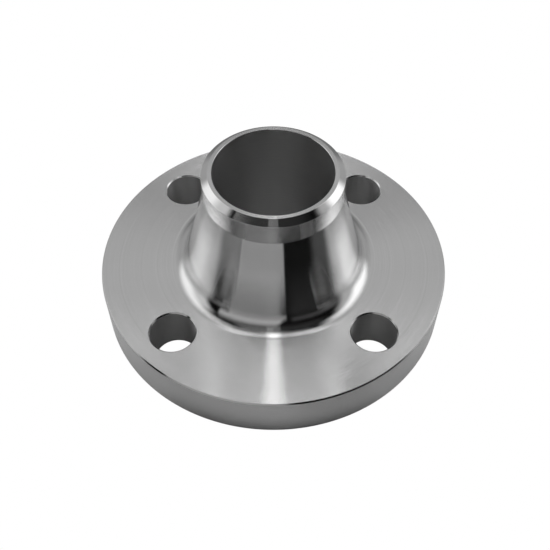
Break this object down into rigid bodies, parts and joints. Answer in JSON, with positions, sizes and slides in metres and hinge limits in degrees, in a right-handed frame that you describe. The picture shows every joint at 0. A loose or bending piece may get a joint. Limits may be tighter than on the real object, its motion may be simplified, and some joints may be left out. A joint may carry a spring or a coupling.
{
  "type": "weld neck flange",
  "caption": "Raised-face weld neck flange: a drilled flange ring with a tapered hub that narrows to a bevelled butt-weld end, bored straight through for a pipe.",
  "frame": {"origin": "centre of the raised gasket face, on the bore's axis", "axes": "+Z along the bore, from the gasket face towards the weld end; +X and +Y point midway between neighbouring bolt holes"},
  "size_m": [0.127, 0.127, 0.0619],
  "materials": {
    "turned_steel": "stainless steel, turned all over, with fine concentric tool marks"
  },
  "bodies": {
    "root": {"weld_neck_flange": "turned_steel"}
  },
  "joints": []
}
